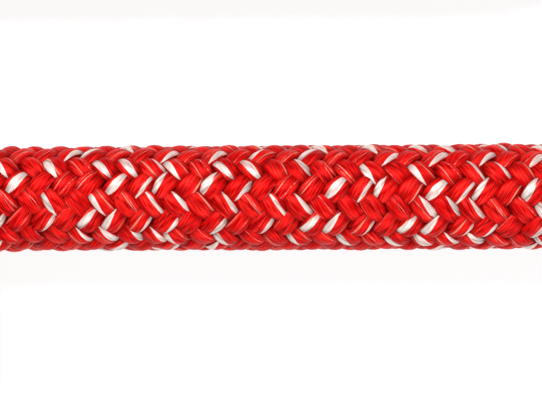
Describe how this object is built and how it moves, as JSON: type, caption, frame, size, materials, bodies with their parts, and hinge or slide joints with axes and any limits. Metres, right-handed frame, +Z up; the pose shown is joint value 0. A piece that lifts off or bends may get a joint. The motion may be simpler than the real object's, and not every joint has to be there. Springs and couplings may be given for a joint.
{
  "type": "lead rope",
  "caption": "Braided round lead rope with a fibre core, clamped round the swivel eye of a sprung bolt snap, its spare length wound into a tied hank.",
  "frame": {"origin": "bottom centre of the snap, eye loop and clamp, on the surface that the lead rope lies on", "axes": "+X along the rope away from the snap, +Y towards the hank, +Z up"},
  "size_m": [0.3089, 0.1771, 0.0334],
  "materials": {
    "braid": "glossy multifilament braid, red with white yarns",
    "core_fibre": "matt fibre",
    "melted_fibre": "melted and set",
    "twine": "waxed twine",
    "webbing": "woven tape",
    "nickel": "nickel plated, lightly scuffed",
    "steel": "drawn steel"
  },
  "bodies": {
    "rope": {"rope_lead_cover": "braid", "rope_lead_core": "core_fibre", "rope_coil": "braid", "rope_tail": "braid", "tail_whipping": "twine", "tail_seal": "melted_fibre", "tie_strap": "webbing", "rope_eye_loop": "braid", "short_end_seal": "melted_fibre", "ferrule": "nickel"},
    "eye": {"swivel_eye": "nickel"},
    "hook": {"snap_body": "nickel", "bolt_spring": "steel"},
    "gate": {"bolt": "steel", "thumb_stud": "nickel"}
  },
  "joints": [
    {"name": "eye_swing", "type": "hinge", "parent": "rope", "child": "eye", "pos_m": [0.02556, 0, 0.01578], "axis": [0, 0, 1], "range_deg": [-30, 60]},
    {"name": "hook_swivel", "type": "hinge", "parent": "eye", "child": "hook", "pos_m": [0.02556, 0, 0.01578], "axis": [0.9935, 0, 0.1141], "continuous": true},
    {"name": "bolt_slide", "type": "slide", "parent": "hook", "child": "gate", "axis": [0.9935, 0, 0.1141], "range_m": [0, 0.0095], "stiffness_N_per_m": 400, "springref_m": -0.004, "deforming": ["bolt_spring"]}
  ]
}
